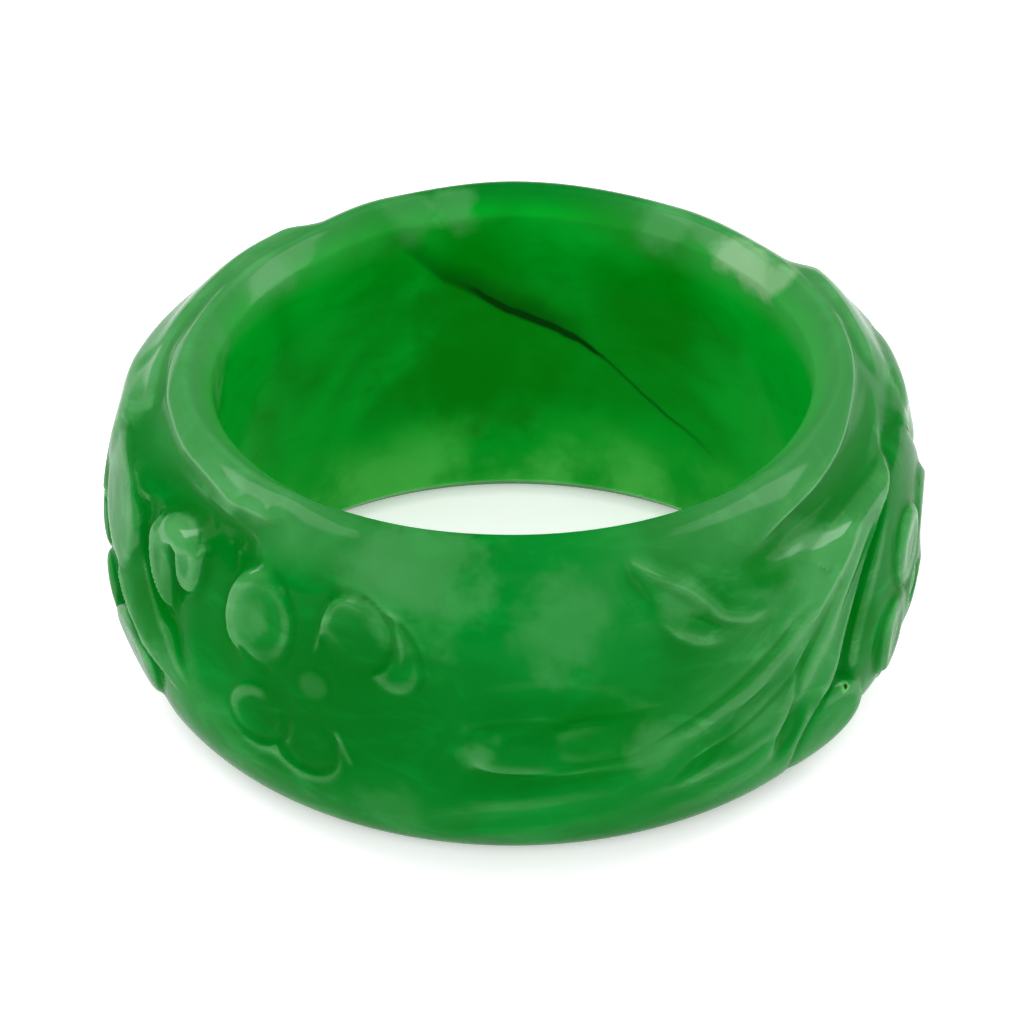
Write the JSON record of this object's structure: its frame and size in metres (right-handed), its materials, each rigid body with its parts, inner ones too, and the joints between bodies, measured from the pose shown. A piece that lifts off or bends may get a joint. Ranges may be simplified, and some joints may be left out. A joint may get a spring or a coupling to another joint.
{
  "type": "jade band ring",
  "caption": "Wide domed finger ring carved from one piece of green jade, with flowers and leaves in low relief round its outside and a smooth plain bore.",
  "frame": {"origin": "middle of the ring's foot, on the surface it lies on", "axes": "+Z along the finger, up from the foot to the rim; the front of the carving faces -Y"},
  "size_m": [0.0251, 0.025, 0.011],
  "materials": {
    "jade": "polished, faintly clouded, translucent green"
  },
  "bodies": {
    "root": {"carved_band": "jade"}
  },
  "joints": []
}
